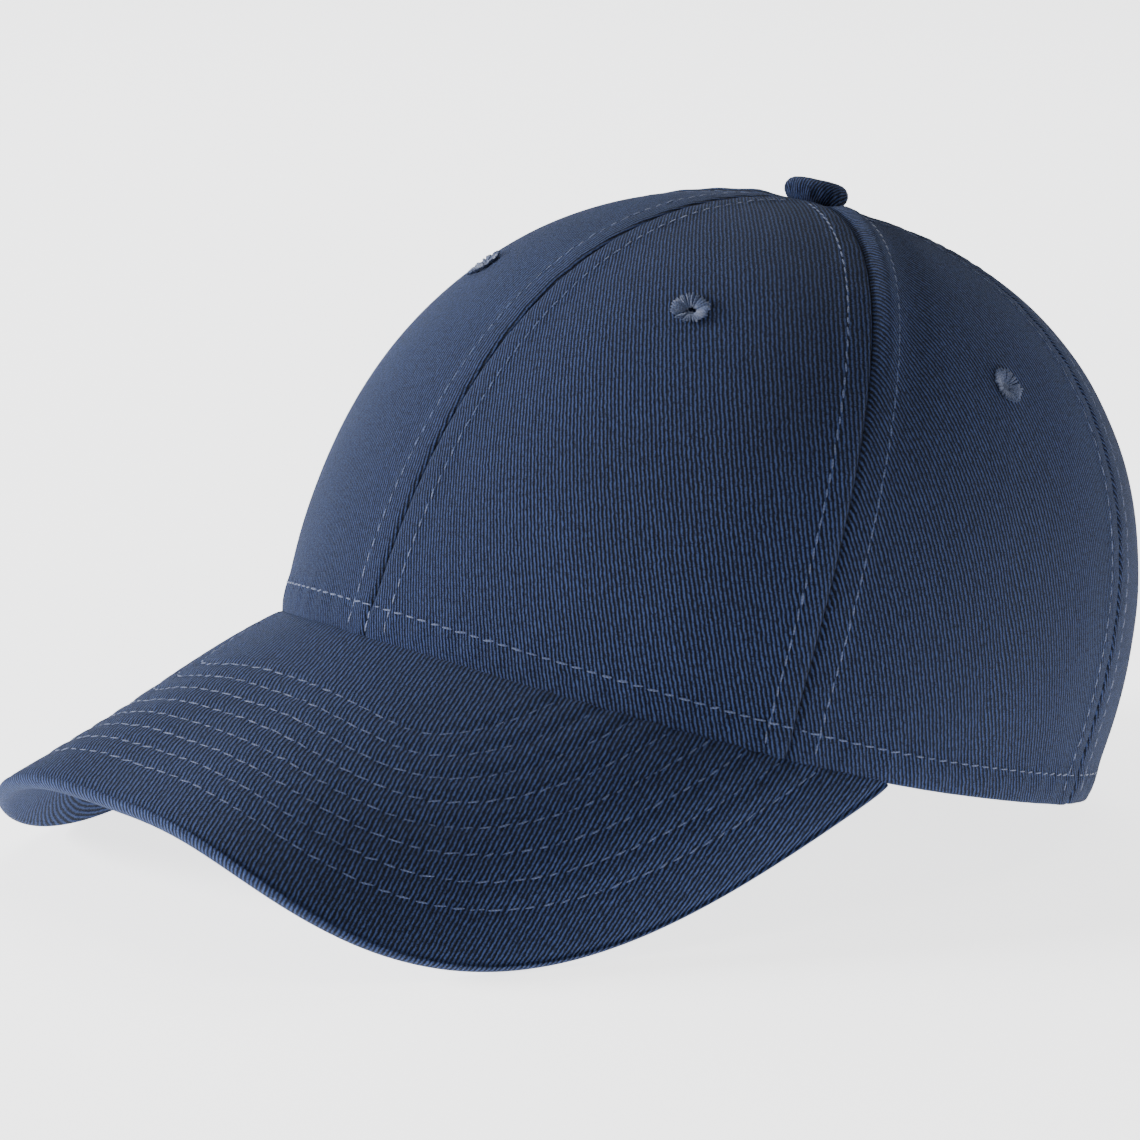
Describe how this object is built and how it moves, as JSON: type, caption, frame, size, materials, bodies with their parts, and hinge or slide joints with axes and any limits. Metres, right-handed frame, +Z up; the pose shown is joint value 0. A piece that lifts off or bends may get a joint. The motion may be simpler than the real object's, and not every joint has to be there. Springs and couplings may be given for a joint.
{
  "type": "baseball cap",
  "caption": "Six-panel structured baseball cap with curved stitched visor, embroidered eyelets, top button and an adjustable back strap with a metal clasp.",
  "frame": {"origin": "centre of the bounding box on the surface that the cap rests on", "axes": "+Z up, the visor points to -Y, +X is the wearer's left; the cap rests on its back rim and on the two low sides of the visor"},
  "size_m": [0.1796, 0.2752, 0.1449],
  "materials": {
    "twill": "navy cotton twill, diagonal rib, matt",
    "thread": "navy polyester embroidery thread with a soft shine",
    "buckram": "stiff open-weave cotton backing, off white",
    "tape": "plain-weave seam tape, navy",
    "board": "flexible polyethylene board, natural white",
    "sweatband": "soft navy twill sweatband",
    "interlining": "thin foam interlining, grey white",
    "label": "blank white satin care label",
    "tinned_steel": "plain pressed steel",
    "clasp_metal": "antiqued nickel plate, satin"
  },
  "bodies": {
    "cap": {"arch_facing": "tape", "back_left_eyelet": "thread", "back_left_panel": "twill", "back_left_tape": "tape", "back_right_eyelet": "thread", "back_right_panel": "twill", "back_right_tape": "tape", "button_core": "tinned_steel", "button_cover": "twill", "button_rivet": "tinned_steel", "button_washer": "tinned_steel", "care_label": "label", "centre_back_tape": "tape", "centre_front_tape": "tape", "clasp_frame": "clasp_metal", "clasp_tab": "twill", "front_left_buckram": "buckram", "front_left_eyelet": "thread", "front_left_panel": "twill", "front_left_tape": "tape", "front_right_buckram": "buckram", "front_right_eyelet": "thread", "front_right_panel": "twill", "front_right_tape": "tape", "lever_pin": "clasp_metal", "side_left_eyelet": "thread", "side_left_panel": "twill", "side_right_eyelet": "thread", "side_right_panel": "twill", "sweatband": "sweatband", "sweatband_interlining": "interlining", "tab_bar": "clasp_metal", "visor_board": "board", "visor_top_cover": "twill", "visor_under_cover": "twill"},
    "strap": {"strap": "twill"},
    "clasp_lever": {"clasp_lever": "clasp_metal"}
  },
  "joints": [
    {"name": "strap_adjust", "type": "hinge", "parent": "cap", "child": "strap", "pos_m": [0, 0.03917, 0.02029], "axis": [0, 0.2449, 0.9696], "range_deg": [-7.6, 7.6]},
    {"name": "lever_open", "type": "hinge", "parent": "cap", "child": "clasp_lever", "pos_m": [-0.00899, 0.13037, 0.01091], "axis": [0.0168, -0.3292, -0.9441], "range_deg": [0, 100]}
  ]
}
